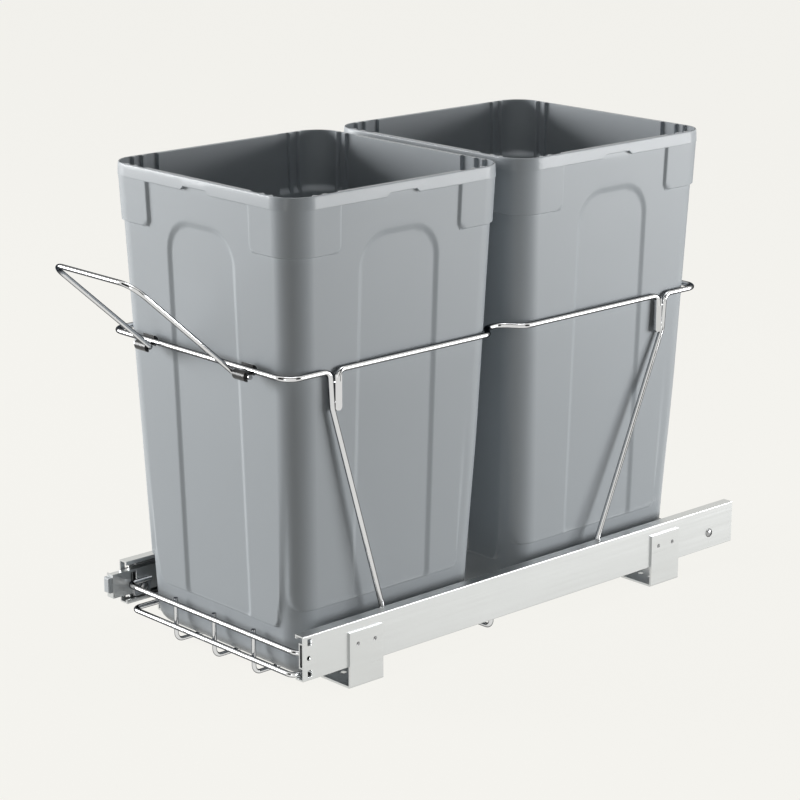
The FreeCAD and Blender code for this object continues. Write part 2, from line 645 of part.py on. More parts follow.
def feet():
    """Four feet and the flush rivets that hold them to the rails."""
    rivets = []
    for word, side in SIDES:
        for where, end in (("front", -1), ("rear", 1)):
            foot(where + "_foot_" + word, side, end)
        for place in foot_rivet_places():
            shank = doc.addObject("Part::Cylinder", "foot_shank")
            dimple = doc.addObject("Part::Cone", "foot_dimple")
            x = f"{side} * ({FACE} - sizes.rail_wall)"
            bind(shank, Radius="sizes.rivet_diameter / 2", Height="sizes.rail_wall + sizes.foot_wall",
                 x=x, y=place, z="sizes.rail_lift + sizes.rivet_height")
            bind(dimple, Radius2="sizes.rivet_diameter * 0.4", Height="sizes.foot_wall / 2",
                 x=f"{side} * ({FACE} + sizes.foot_wall / 2)", y=place,
                 z="sizes.rail_lift + sizes.rivet_height")
            dimple.Radius1 = 0
            for item in (shank, dimple):
                item.Placement.Rotation = FreeCAD.Rotation(FreeCAD.Vector(0, 1, 0), 90 * side)
            rivet = doc.addObject("Part::Cut", "foot_rivet")
            rivet.Base = shank
            rivet.Tool = dimple
            rivets.append(rivet)
    group("foot_rivets", rivets)


# ---------------------------------------------------------------- wire carriage

SCREW_Z = "(sizes.rail_lift + sizes.upper_height - sizes.base_wire / 2 - sizes.screw_head * 0.55)"


def screw_places():
    """Frame screws along Y: one through each tab of the upper wires."""
    return (f"({BASE_Y} + sizes.upper_corner + sizes.tab_length * 0.6)",
            f"({BASE_REAR_Y} - sizes.upper_corner - sizes.tab_length * 0.6)")


def hoop(name, wire_y, drop_y, lean, strut, end):
    """Wire across one end of the bins, round both corners, down in a drop, a strut and its welded end."""
    x = value(RING_HALF)
    lift = value("sizes.rail_lift")
    top = value(RING_Z)
    half = [
        (x, end[0], lift + end[1]),
        (x, strut[0], lift + strut[1]),
        (x, drop_y + lean, top - value("sizes.drop_length")),
        (x, drop_y, top),
        (x, wire_y, top),
    ]
    wire = value("sizes.hoop_wire")
    radii = [0, 1.4 * wire, 2.5 * wire, 1.5 * wire, value("sizes.ring_corner")]
    points, bends = mirrored_route(half, radii)
    return shaped(name, bent_rod(points, bends, wire))


def side_wire(name, side):
    """Wire along a side, dented between the bins, its ends flattened into paddles with weld nubs."""
    x = value(RING_HALF)
    top = value(RING_Z)
    wire = value("sizes.hoop_wire")
    front = value(FRONT)
    ends = (front + value("sizes.front_drop_set") + value("sizes.paddle_gap"),
            front + value("sizes.rear_drop_set") - value("sizes.paddle_gap"))
    middle = front + value("sizes.dent_set")
    flat = value("sizes.dent_floor") / 2
    slope = flat + value("sizes.dent_slope")
    deep = x - value("sizes.dent_depth")
    neck = top - 2 * wire
    route = [(x, ends[0], neck), (x, ends[0], top), (x, middle - slope, top), (deep, middle - flat, top),
             (deep, middle + flat, top), (x, middle + slope, top), (x, ends[1], top), (x, ends[1], neck)]
    bend = 1.4 * wire
    sweep = 2.6 * wire
    solid = bent_rod(route, [0, bend, sweep, sweep, sweep, sweep, bend, 0], wire)
    solid = solid.fuse([paddle(x, ends[0], top, -1), paddle(x, ends[1], top, 1)]).removeSplitter()
    if side < 0:
        solid = solid.mirror(FreeCAD.Vector(0, 0, 0), FreeCAD.Vector(1, 0, 0))
    return shaped(name, solid)


def paddle(x, y, top, way):
    """Flattened wire end with cut lower corners, and two weld nubs that reach the hoop's drop."""
    width = value("sizes.paddle_width")
    wall = value("sizes.paddle_wall")
    length = value("sizes.paddle_length")
    high = top - value("sizes.hoop_wire") / 2 - 1
    low = high - length
    cut = width / 4
    outline = [(y - width / 2, high), (y + width / 2, high), (y + width / 2, low + cut),
               (y + width / 2 - cut, low), (y - width / 2 + cut, low), (y - width / 2, low + cut)]
    corners = [FreeCAD.Vector(x - wall / 2, across, up) for across, up in outline]
    blade = Part.Face(Part.makePolygon(corners + corners[:1])).extrude(FreeCAD.Vector(wall, 0, 0))
    nub = value("sizes.nub_diameter") / 2
    drop_gap = value("sizes.paddle_gap") - width / 2 - value("sizes.hoop_wire") / 2
    solids = []
    for share in (0.2, 0.75):
        height = high - share * length
        lean = value("sizes.drop_lean") * (top - height) / value("sizes.drop_length")
        start = FreeCAD.Vector(x, y + way * width / 2, height)
        solids.append(Part.makeCylinder(nub, drop_gap - lean, start, FreeCAD.Vector(0, way, 0)))
    return blade.fuse(solids)


def upper_wire(name, y, way):
    """Thick wire between the inner members; each end turns back into a flattened, screwed tab."""
    wire = value("sizes.base_wire")
    x = value(INBOARD) - wire / 2
    z = value("sizes.rail_lift") + value("sizes.upper_height")
    corner = value("sizes.upper_corner")
    end = y + way * (corner + value("sizes.tab_length"))
    points, bends = mirrored_route([(x, end, z), (x, y, z)], [0, corner])
    solid = bent_rod(points, bends, wire)
    wall = value("sizes.tab_wall")
    length = value("sizes.tab_length")
    depth = value("sizes.tab_depth")
    start = min(end, end - way * length)
    tabs = []
    for side in (1, -1):
        left = min(side * value(INBOARD), side * (value(INBOARD) - wall))
        tab = Part.makeBox(wall, length, depth, FreeCAD.Vector(left, start, z - depth))
        for place in screw_places():
            hole = FreeCAD.Vector(left - wall, value(place), value(SCREW_Z))
            shank = Part.makeCylinder(value("sizes.screw_shank") / 2, 3 * wall, hole, FreeCAD.Vector(1, 0, 0))
            tab = tab.cut(shank)
        tabs.append(tab)
    return shaped(name, solid.fuse(tabs).removeSplitter())


def lower_ring():
    """Closed rectangle of wire round the bins' feet."""
    half = value(INBOARD) - value("sizes.lower_room")
    z = value("sizes.rail_lift") + value("sizes.lower_height")
    front = value(BASE_Y)
    rear = value(BASE_REAR_Y)
    middle = (front + rear) / 2
    corner = value("sizes.lower_corner")
    points = [(half, middle, z), (half, rear, z), (-half, rear, z), (-half, front, z), (half, front, z)]
    radii = [0, corner, corner, corner, corner]
    path = points + points[:1]
    return shaped("lower_ring", bent_rod(path, radii + [0], value("sizes.base_wire")))


def floor_wire(name, x):
    """Wire along the floor, turned up behind the front wires and before the rear ones."""
    wire = value("sizes.floor_wire")
    stand = (value("sizes.base_wire") + wire) / 2
    front = value(BASE_Y) + stand
    rear = value(BASE_REAR_Y) - stand
    tip = value("sizes.rail_lift") + value("sizes.floor_tip_rise")
    low = value(FLOOR_Z)
    bend = value("sizes.floor_bend")
    points = [(x, front, tip), (x, front, low), (x, rear, low), (x, rear, tip)]
    return shaped(name, bent_rod(points, [0, bend, bend, 0], wire))


def cross_wire():
    """Wire across the floor between the bins, turned up to the inner members."""
    wire = value("sizes.cross_wire")
    x = value(INBOARD) - wire / 2
    y = value(FRONT) + value("sizes.cross_set")
    low = value(FLOOR_Z) + (value("sizes.floor_wire") + wire) / 2
    tip = value("sizes.rail_lift") + value("sizes.cross_tip_rise")
    points, bends = mirrored_route([(x, y, tip), (x, y, low)], [0, 1.4 * wire])
    return shaped("middle_cross_wire", bent_rod(points, bends, wire))


def frame_screws():
    """Pan-head screws through the tabs into the inner members."""
    screws = []
    for word, side in SIDES:
        for place in screw_places():
            shank = doc.addObject("Part::Cylinder", "screw_shank")
            head = doc.addObject("Part::Ellipsoid", "screw_head")
            tab_face = f"({INBOARD} - sizes.tab_wall)"
            bind(shank, Radius="sizes.screw_shank / 2", Height="sizes.tab_wall + sizes.member_wall",
                 x=f"{side} * {tab_face}", y=place, z=SCREW_Z)
            bind(head, Radius1="sizes.screw_head_high", Radius2="sizes.screw_head / 2",
                 x=f"{side} * {tab_face}", y=place, z=SCREW_Z)
            head.Angle1 = 0
            shank.Placement.Rotation = FreeCAD.Rotation(FreeCAD.Vector(0, 1, 0), 90 * side)
            head.Placement.Rotation = FreeCAD.Rotation(FreeCAD.Vector(0, 1, 0), -90 * side)
            screw = doc.addObject("Part::Fuse", "frame_screw")
            screw.Base = shank
            screw.Tool = head
            screws.append(screw)
    group("frame_screws", screws)


def front_bumper():
    """Plastic block on the left inner member's flange."""
    body = new_body("front_bumper")
    low, high = levels(INNER_STEP)
    middle = f"(({low} + {high}) / 2 + sizes.member_wall)"
    centre = f"(-({FACE} - sizes.rail_wall - sizes.bumper_width / 2))"
    sketch = new_sketch(body, "XZ_Plane")
    rectangle(sketch, f"{centre} - sizes.bumper_width / 2", f"{middle} - sizes.bumper_high / 2",
              f"{centre} + sizes.bumper_width / 2", f"{middle} + sizes.bumper_high / 2")
    pad(body, sketch, "sizes.bumper_length")
    bind(body, y=f"{FRONT} + sizes.inner_set - sizes.left_nose")
    doc.recompute()
    front = body.Shape.BoundBox.YMin - body.Placement.Base.y
    round_edges(body, lambda edge: abs(edge.BoundBox.YMax - front) < 0.01, "sizes.bumper_width / 6")
    return node(body, "front_bumper")


def carriage():
    """The wire frame that the inner members carry."""
    front = value(FRONT)
    ring_y = value(RING_Y)
    lean = value("sizes.drop_lean")
    foot = front + value("sizes.front_strut_set")
    hoop("front_hoop", ring_y, front + value("sizes.front_drop_set"), lean,
         (foot, value("sizes.front_strut_rise")), (foot - value("sizes.toe_length"), value("sizes.toe_rise")))
    foot = front + value("sizes.rear_strut_set")
    hoop("rear_hoop", ring_y + value("sizes.ring_length"), front + value("sizes.rear_drop_set"), -lean,
         (foot, value("sizes.rear_strut_rise")), (foot, value("sizes.stub_rise")))
    for word, side in SIDES:
        side_wire("side_wire_" + word, side)
    upper_wire("upper_front_wire", value(BASE_Y), 1)
    upper_wire("upper_rear_wire", value(BASE_REAR_Y), -1)
    lower_ring()
    for word, place in (("left", -1), ("middle", 0), ("right", 1)):
        floor_wire("floor_wire_" + word, place * value("sizes.floor_spacing"))
    cross_wire()
    frame_screws()
    front_bumper()


# ---------------------------------------------------------------- handle

def mouth(body, y, z, middle, wire):
    """Cut a clip open in one direction, so that it snaps over its wire."""
    sketch = new_sketch(body, "YZ_Plane")
    reach = f"({wire} / 2 + 2 * sizes.clip_wall)"
    corners = [(y, z)]
    for way, far in ((-1, 1), (0, 1.5), (1, 1)):
        turn = f"({middle} + {way} * sizes.mouth_half)"
        corners.append((f"{y} + {far} * {reach} * cos{turn}", f"{z} + {far} * {reach} * sin{turn}"))
    polygon(sketch, corners)
    pocket(body, sketch, "2 * sizes.clip_width")


def clip(name, side):
    """Plastic clip with an open channel for the front hoop and another that the handle turns in."""
    body = new_body(name)
    sketch = new_sketch(body, "YZ_Plane")
    ring_outer = "sizes.hoop_wire + 2 * (sizes.clip_play + sizes.clip_wall)"
    circle(sketch, "0", "0", ring_outer)
    pad(body, sketch, "sizes.clip_width", midplane=True)
    lower = new_sketch(body, "YZ_Plane")
    pivot_outer = "sizes.handle_wire + 2 * (sizes.pivot_play + sizes.clip_wall)"
    circle(lower, "-sizes.pivot_forward", "-sizes.pivot_drop", pivot_outer)
    pad(body, lower, "sizes.clip_width", midplane=True)
    bores = new_sketch(body, "YZ_Plane")
    circle(bores, "0", "0", "sizes.hoop_wire + 2 * sizes.clip_play")
    circle(bores, "-sizes.pivot_forward", "-sizes.pivot_drop", "sizes.handle_wire + 2 * sizes.pivot_play")
    pocket(body, bores, "2 * sizes.clip_width")
    mouth(body, "0", "0", "sizes.hoop_mouth", "sizes.hoop_wire")
    mouth(body, "-sizes.pivot_forward", "-sizes.pivot_drop", "sizes.handle_mouth", "sizes.handle_wire")
    bind(body, x=f"{side} * sizes.clip_middle", y=RING_Y, z=RING_Z)
    return node(body, name)


def handle():
    """Wire bail: two legs and a grip, its ends turned outwards into the clips."""
    angle = math.radians(value("sizes.handle_angle"))
    reach = value("sizes.handle_reach")
    y = value(PIVOT_Y)
    z = value(PIVOT_Z)
    root = value("sizes.handle_root")
    grip = (value("sizes.handle_grip"), y - reach * math.cos(angle), z + reach * math.sin(angle))
    half = [(value("sizes.handle_tip"), y, z), (root, y, z), grip]
    radii = [0, value("sizes.handle_root_bend"), value("sizes.handle_corner")]
    points, bends = mirrored_route(half, radii)
    shaped("handle", bent_rod(points, bends, value("sizes.handle_wire")))
    for word, side in SIDES:
        clip("handle_clip_" + word, side)


# ---------------------------------------------------------------- bins

def bin_halves(above_base, inset="0"):
    """Half width and half length of a bin at a height above its base, less an inset."""
    gain = f"({above_base} * tan(sizes.bin_draft) - {BELOW_RING} - {inset})"
    return f"({BIN_HALF_X} + {gain})", f"({BIN_HALF_Y} + {gain})"


def tapered_block(body, above_base, inset, height, corner):
    """Block with a bin's draft, from a height above the base, with four equal round corners."""
    sketch = new_sketch(body, "XY_Plane", above_base)
    half_x, half_y = bin_halves(above_base, inset)
    rectangle(sketch, f"-{half_x}", f"-{half_y}", half_x, half_y)
    block = pad(body, sketch, height)
    block.setExpression("TaperAngle", "sizes.bin_draft")
    tall = value(height)
    round_edges(body, lambda edge: edge.BoundBox.ZLength > 0.9 * tall, corner)


def corner_pads(body):
    """Blocks at the four corners under the rim, drawn while the bin is still solid."""
    half_x, half_y = bin_halves(RIM_BASE, "(-sizes.pad_overhang)")
    sketch = new_sketch(body, "XY_Plane", RIM_BASE)
    radius = "(sizes.bin_corner + sizes.pad_overhang)"
    for sx, sy in ((1, 1), (-1, 1), (-1, -1), (1, -1)):
        inner = (f"{sx} * sizes.pad_edge", f"{sy} * sizes.pad_edge")
        on_x = (f"{sx} * {half_x}", f"{sy} * sizes.pad_edge")
        tip = (f"{sx} * {half_x}", f"{sy} * {half_y}")
        on_y = (f"{sx} * sizes.pad_edge", f"{sy} * {half_y}")
        corners = (inner, on_x, tip, on_y)
        radii = ("0", "0", radius, "0")
        if sx * sy < 0:
            corners = (inner, on_y, tip, on_x)
        rounded(sketch, corners, radii)
    pad(body, sketch, "sizes.pad_high", backwards=True)


def panel(body, role, wall, way):
    """Sunk arch panel in one wall: a shallow pocket that leans as the wall does."""
    normal = way if role == "YZ_Plane" else -way
    middle = f"({RIM_BASE} / 2)"
    sketch = new_sketch(body, role, f"{normal} * {wall}")
    sketch.setExpression("AttachmentOffset.Base.y", middle)
    sketch.AttachmentOffset.Rotation = FreeCAD.Rotation(FreeCAD.Vector(normal, 0, 0), 1)
    sketch.setExpression("AttachmentOffset.Rotation.Angle", "sizes.bin_draft")
    half = "sizes.panel_half"
    top = f"({middle} - sizes.panel_top)"
    low = f"(sizes.panel_foot - {middle})"
    corners = ((f"-{half}", low), (half, low), (half, top), (f"-{half}", top))
    rounded(sketch, corners, ("sizes.panel_corner / 4", "sizes.panel_corner / 4", "sizes.panel_corner",
                              "sizes.panel_corner"))
    pocket(body, sketch, "2 * sizes.panel_depth")


def rim_notches(body):
    """Shallow notches in the rim's lower edge, at the middle of each side."""
    half_x, half_y = bin_halves(RIM_BASE, "(-sizes.rim_overhang)")
    for role, place in (("XZ_Plane", half_y), ("YZ_Plane", half_x)):
        for way in (1, -1):
            sketch = new_sketch(body, role, f"{way} * {place}")
            half = "(sizes.notch_width / 2)"
            roof = f"({RIM_BASE} + sizes.notch_high)"
            slope = "sizes.notch_high"
            polygon(sketch, ((f"-{half}", RIM_BASE), (half, RIM_BASE), (f"{half} - {slope}", roof),
                             (f"-{half} + {slope}", roof)))
            pocket(body, sketch, "2 * sizes.rim_overhang - 0.4")


def waste_bin(name, middle_y):
    """Tapered open bin with a rim band, corner pads, rim notches and a sunk arch panel on each side."""
    body = new_body(name + "_block")
    tapered_block(body, "0", "0", RIM_BASE, "sizes.bin_corner")
    corner_pads(body)
    rim = new_sketch(body, "XY_Plane", RIM_BASE)
    rounded_box(rim, *bin_halves(RIM_BASE, "(-sizes.rim_overhang)"), "sizes.rim_corner")
    pad(body, rim, "sizes.rim_high")
    round_edges(body, flat_at(value("sizes.bin_high")), "sizes.rim_round")
    round_edges(body, flat_at(0), "sizes.bin_base_round")
    rim_notches(body)
    half_x, half_y = bin_halves(f"({RIM_BASE} / 2)")
    for way in (1, -1):
        panel(body, "XZ_Plane", half_y, way)
        panel(body, "YZ_Plane", half_x, way)
    cavity = new_body(name + "_cavity")
    tapered_block(cavity, "sizes.bin_wall", "sizes.bin_wall", "sizes.bin_high",
                  "(sizes.bin_corner - sizes.bin_wall)")
    round_edges(cavity, flat_at(value("sizes.bin_wall")), "(sizes.bin_base_round - sizes.bin_wall)")
    shell = doc.addObject("Part::Cut", name)
    shell.Base = body
    shell.Tool = cavity
    bind(shell, y=middle_y, z=BIN_BASE_Z)
    return node(shell, name)


# ---------------------------------------------------------------- the whole unit

def check():
    """Stop if any object failed or any sub-part's shape is missing or invalid."""
    doc.recompute()
    for item in doc.Objects:
        if "Invalid" in item.State or "Error" in item.State:
            raise ValueError("%s (%s) failed: %s" % (item.Name, item.Label, item.State))
    for item in nodes:
        shape = item.Shape
        if shape.isNull() or not shape.isValid() or not shape.Solids:
            raise ValueError(item.Label + " has no valid solid")


def export():
    """Write each sub-part to its own file."""
    os.makedirs("parts", exist_ok=True)
    for item in nodes:
        item.Shape.exportStep("parts/%s.step" % item.Label)
        box = item.Shape.BoundBox
        print("%-24s %2d solids, volume %9.0f, x %7.1f %7.1f, y %7.1f %7.1f, z %6.1f %6.1f" % (
            item.Label, len(item.Shape.Solids), item.Shape.Volume,
            box.XMin, box.XMax, box.YMin, box.YMax, box.ZMin, box.ZMax))


slides()
rear_stops()
feet()
carriage()
handle()
waste_bin("front_bin", FRONT_BIN_Y)
waste_bin("rear_bin", REAR_BIN_Y)
check()
export()
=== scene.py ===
"""Looks of the pull-out bin unit: moulded bins, chrome wires, zinc-plated slides, and the studio."""
import math

import bmesh
import bpy
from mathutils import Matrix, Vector


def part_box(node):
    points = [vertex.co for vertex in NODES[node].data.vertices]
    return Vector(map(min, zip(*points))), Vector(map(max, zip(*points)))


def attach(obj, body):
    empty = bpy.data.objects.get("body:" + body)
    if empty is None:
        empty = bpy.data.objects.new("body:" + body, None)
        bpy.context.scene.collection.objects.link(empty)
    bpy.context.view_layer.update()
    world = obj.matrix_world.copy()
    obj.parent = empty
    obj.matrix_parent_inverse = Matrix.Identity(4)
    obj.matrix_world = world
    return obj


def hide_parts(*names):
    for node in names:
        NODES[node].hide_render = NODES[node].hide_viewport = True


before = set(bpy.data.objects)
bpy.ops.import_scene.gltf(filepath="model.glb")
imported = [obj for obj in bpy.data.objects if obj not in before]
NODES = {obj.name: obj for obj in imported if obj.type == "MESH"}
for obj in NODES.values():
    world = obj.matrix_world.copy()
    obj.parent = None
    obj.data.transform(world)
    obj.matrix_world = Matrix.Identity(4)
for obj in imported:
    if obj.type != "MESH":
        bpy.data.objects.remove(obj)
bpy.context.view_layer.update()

bl_info = {
    "name": "Pull-out bin unit",
    "version": (1, 0, 0),
    "blender": (4, 5, 0),
    "location": "3D View > Sidebar > Bin unit",
    "description": "Builds and finishes a pull-out unit of two bins in a wire carriage",
    "category": "Object",
}

MM = 0.001
BIN_NODES = ("front_bin", "rear_bin")
WIRE_NODES = ("front_hoop", "rear_hoop", "side_wire_right", "side_wire_left", "upper_front_wire",
              "upper_rear_wire", "lower_ring", "floor_wire_left", "floor_wire_middle",
              "floor_wire_right", "middle_cross_wire", "handle")


# ---------------------------------------------------------------- settings

def length_setting(name, description, millimetres):
    """Setting for a length, written in millimetres."""
    return bpy.props.FloatProperty(name=name, description=description, default=millimetres * MM,
                                   subtype="DISTANCE", unit="LENGTH")


def colour_setting(name, description, default):
    """Setting for a colour."""
    return bpy.props.FloatVectorProperty(name=name, description=description, default=default,
                                         subtype="COLOR", size=3, min=0, max=1)


def power_setting(name, description, watts):
    """Setting for the power of a lamp."""
    return bpy.props.FloatProperty(name=name, description=description, default=watts, unit="POWER")


class BinSettings(bpy.types.PropertyGroup):
    """Sizes of the moulded bins."""
    draft: bpy.props.FloatProperty(name="Draft", description="Slope of the walls",
                                   default=math.radians(2.19), subtype="ANGLE")
    wall: length_setting("Wall", "Thickness of the wall", 2.5)
    corner: length_setting("Corner", "Corner radius of the walls", 23.5)
    base_round: length_setting("Base rounding", "Rounding under the bin", 20)
    rim_high: length_setting("Rim height", "Height of the rim band", 11.5)
    rim_out: length_setting("Rim overhang", "Rim beyond the wall", 3.2)
    rim_corner: length_setting("Rim corner", "Corner radius of the rim", 28)
    pad_out: length_setting("Pad height", "Corner pads beyond the wall", 2.2)
    pad_edge: length_setting("Pad edge", "Pad's inner edge from the face's middle", 69)
    pad_drop: length_setting("Pad drop", "Pads' reach below the rim", 40.5)
    hollow: length_setting("Pad hollow", "Inside of a pad behind the wall's inside", 3.0)
    rib_half: length_setting("Rib half width", "Half width of the ribs in a pad's hollow", 2.2)
    arch_half: length_setting("Arch half width", "Half width of the sunk arch panel", 44)
    arch_corner: length_setting("Arch shoulder", "Rounding of the arch's shoulders", 29)
    arch_top: length_setting("Arch top", "Arch's top below the rim", 30.5)
    arch_deep: length_setting("Arch depth", "How deep the arch panel is sunk", 1.8)
    ledge_front: length_setting("Front ledge", "Ledge above the base, front and rear", 45.7)
    ledge_side: length_setting("Side ledge", "Ledge above the base, at the sides", 64.7)
    plate_half: length_setting("Plate half width", "Half width of the raised front and rear wall", 96)
    column_high: length_setting("Column height", "Where a corner column meets the raised walls", 160)
    foot_deep: length_setting("Foot step", "Foot behind the raised walls", 2.2)
    notch_half: length_setting("Notch half width", "Half width of the rim's notch at its top", 15.5)
    notch_ramp: length_setting("Notch ramp", "Length of the notch's sloped ends", 3.5)
    notch_high: length_setting("Notch height", "Height of the rim's notch", 3.4)


class FinishSettings(bpy.types.PropertyGroup):
    """Colours of the finishes."""
    bin_grey: colour_setting("Bin grey", "Moulded plastic of the bins", (0.395, 0.428, 0.455))
    zinc: colour_setting("Zinc", "Plated steel of the slides", (0.61, 0.625, 0.63))
    chrome: colour_setting("Chrome", "Plated wire", (0.74, 0.75, 0.77))
    clip_black: colour_setting("Clip black", "Plastic of the clips", (0.012, 0.012, 0.013))
    bumper_grey: colour_setting("Bumper grey", "Plastic of the bumper", (0.55, 0.58, 0.60))
    stop_black: colour_setting("Stop black", "Rubber of the stops", (0.02, 0.02, 0.02))


class StudioSettings(bpy.types.PropertyGroup):
    """Background, lamps and lens."""
    backdrop: colour_setting("Backdrop", "Colour of floor and background", (0.91, 0.90, 0.86))
    lens: bpy.props.FloatProperty(name="Lens", description="Focal length on a 36 mm sensor",
                                  default=117.47, unit="CAMERA")
    sky: bpy.props.FloatProperty(name="Sky", description="Brightness of the room", default=0.03)
    left_lamp: power_setting("Left lamp", "Power of the left softbox", 108)
    right_lamp: power_setting("Right lamp", "Power of the right softbox", 34)
    fill_lamp: power_setting("Fill lamp", "Power of the softbox before the front", 6)
    top_lamp: power_setting("Top lamp", "Power of the top softbox", 14)


# ---------------------------------------------------------------- nodes

def feed(tree, socket, source):
    """Link a socket to another one, or set it to a plain value."""
    if isinstance(source, bpy.types.NodeSocket):
        tree.links.new(source, socket)
    else:
        socket.default_value = source


def compute(tree, operation, *terms):
    """Math node on sockets or plain numbers; gives its result."""
    node = tree.nodes.new("ShaderNodeMath")
    node.operation = operation
    for socket, term in zip(node.inputs, terms):
        feed(tree, socket, term)
    return node.outputs[0]


def noise(tree, vector, scale, detail):
    """Noise over a vector; gives its value, 0 to 1."""
    node = tree.nodes.new("ShaderNodeTexNoise")
    feed(tree, node.inputs["Vector"], vector)
    feed(tree, node.inputs["Scale"], scale)
    node.inputs["Detail"].default_value = detail
    return node.outputs["Fac"]


def scaled(tree, colour, factor):
    """A colour times a number."""
    node = tree.nodes.new("ShaderNodeVectorMath")
    node.operation = "SCALE"
    feed(tree, node.inputs[0], colour)
    feed(tree, node.inputs["Scale"], factor)
    return node.outputs[0]


def mixed(tree, share, first, second):
    """Mix of two shaders: the first at a share of 0, the second at 1."""
    node = tree.nodes.new("ShaderNodeMixShader")
    for socket, source in zip(node.inputs, (share, first, second)):
        feed(tree, socket, source)
    return node.outputs[0]


def new_group(name, inputs, outputs):
    """Empty shader node group; gives the group, the sockets that come in, and those that go out."""
    group = bpy.data.node_groups.new(name, "ShaderNodeTree")
    for title, kind, default in inputs:
        socket = group.interface.new_socket(title, in_out="INPUT", socket_type=kind)
        socket.default_value = default
    for title, kind in outputs:
        group.interface.new_socket(title, in_out="OUTPUT", socket_type=kind)
    return group, group.nodes.new("NodeGroupInput").outputs, group.nodes.new("NodeGroupOutput").inputs


def grain_group():
    """Fine uneven grain: a height for the bump, and a roughness that varies slightly."""
    known = bpy.data.node_groups.get("Fine grain")
    if known:
        return known
    group, given, result = new_group(
        "Fine grain",
        (("Vector", "NodeSocketVector", (0, 0, 0)), ("Scale", "NodeSocketFloat", 900.0),
         ("Roughness", "NodeSocketFloat", 0.4), ("Variation", "NodeSocketFloat", 0.05)),
        (("Height", "NodeSocketFloat"), ("Roughness", "NodeSocketFloat")))
    broad = noise(group, given["Vector"], scale=14, detail=4)
    uneven = compute(group, "SUBTRACT", broad, 0.5)
    rough = compute(group, "MULTIPLY_ADD", uneven, given["Variation"], given["Roughness"])
    feed(group, result["Height"], noise(group, given["Vector"], given["Scale"], detail=3))
    feed(group, result["Roughness"], rough)
    return group


def tint_group():
    """A colour with a slow, faint change of tone over the surface."""
    known = bpy.data.node_groups.get("Slow tint")
    if known:
        return known
    group, given, result = new_group(
        "Slow tint",
        (("Vector", "NodeSocketVector", (0, 0, 0)), ("Color", "NodeSocketColor", (0.5, 0.5, 0.5, 1)),
         ("Scale", "NodeSocketFloat", 6.0), ("Amount", "NodeSocketFloat", 0.04)),
        (("Color", "NodeSocketColor"),))
    slow = noise(group, given["Vector"], given["Scale"], detail=3)
    spread = compute(group, "MULTIPLY_ADD", slow, 2.0, -1.0)
    gain = compute(group, "MULTIPLY_ADD", spread, given["Amount"], 1.0)
    feed(group, result["Color"], scaled(group, given["Color"], gain))
    return group


def brushed_group():
    """Long faint streaks along the slide, as rolled and plated sheet has."""
    known = bpy.data.node_groups.get("Rolled streaks")
    if known:
        return known
    group, given, result = new_group(
        "Rolled streaks",
        (("Vector", "NodeSocketVector", (0, 0, 0)), ("Roughness", "NodeSocketFloat", 0.35),
         ("Variation", "NodeSocketFloat", 0.1)),
        (("Height", "NodeSocketFloat"), ("Roughness", "NodeSocketFloat")))
    stretch = group.nodes.new("ShaderNodeMapping")
    stretch.inputs["Scale"].default_value = (900, 9, 900)
    feed(group, stretch.inputs["Vector"], given["Vector"])
    streaks = noise(group, stretch.outputs[0], scale=1, detail=2)
    uneven = compute(group, "SUBTRACT", streaks, 0.5)
    rough = compute(group, "MULTIPLY_ADD", uneven, given["Variation"], given["Roughness"])
    feed(group, result["Height"], streaks)
    feed(group, result["Roughness"], rough)
    return group


# ---------------------------------------------------------------- materials

def new_material(name):
    """Material with a Principled shader; gives material, node tree, shader and Object coordinates."""
    material = bpy.data.materials.new(name)
    material.use_nodes = True
    tree = material.node_tree
    place = tree.nodes.new("ShaderNodeTexCoord").outputs["Object"]
    return material, tree, tree.nodes["Principled BSDF"], place


def use_group(tree, group, vector, **values):
    """Place a group in a material with its own values; gives the group's outputs."""
    node = tree.nodes.new("ShaderNodeGroup")
    node.node_tree = group
    feed(tree, node.inputs["Vector"], vector)
    for title, value in values.items():
        node.inputs[title].default_value = value
    return node.outputs


def bump(tree, shader, height, strength, distance):
    """Bump from a height into the shader's normal."""
    node = tree.nodes.new("ShaderNodeBump")
    node.inputs["Strength"].default_value = strength
    node.inputs["Distance"].default_value = distance
    feed(tree, node.inputs["Height"], height)
    feed(tree, shader.inputs["Normal"], node.outputs["Normal"])


def moulded_plastic(name, colour, roughness, grain=0.25, coat=0.0):
    """Injection-moulded plastic: fine spark grain, and a slow change of tone."""
    material, tree, shader, place = new_material(name)
    tint = use_group(tree, tint_group(), place, Color=(*colour, 1), Amount=0.03)
    surface = use_group(tree, grain_group(), place, Scale=1400.0, Roughness=roughness, Variation=0.06)
    feed(tree, shader.inputs["Base Color"], tint["Color"])
    feed(tree, shader.inputs["Roughness"], surface["Roughness"])
    bump(tree, shader, surface["Height"], strength=grain, distance=0.05 * MM)
    shader.inputs["IOR"].default_value = 1.49
    shader.inputs["Coat Weight"].default_value = coat
    shader.inputs["Coat Roughness"].default_value = 0.09
    return material


def plated_sheet(name, colour, roughness):
    """Zinc-plated rolled sheet: metallic, with faint streaks along the slide."""
    material, tree, shader, place = new_material(name)
    tint = use_group(tree, tint_group(), place, Color=(*colour, 1), Amount=0.05, Scale=9.0)
    surface = use_group(tree, brushed_group(), place, Roughness=roughness, Variation=0.12)
    feed(tree, shader.inputs["Base Color"], tint["Color"])
    feed(tree, shader.inputs["Roughness"], surface["Roughness"])
    bump(tree, shader, surface["Height"], strength=0.08, distance=0.03 * MM)
    shader.inputs["Metallic"].default_value = 1.0
    return material


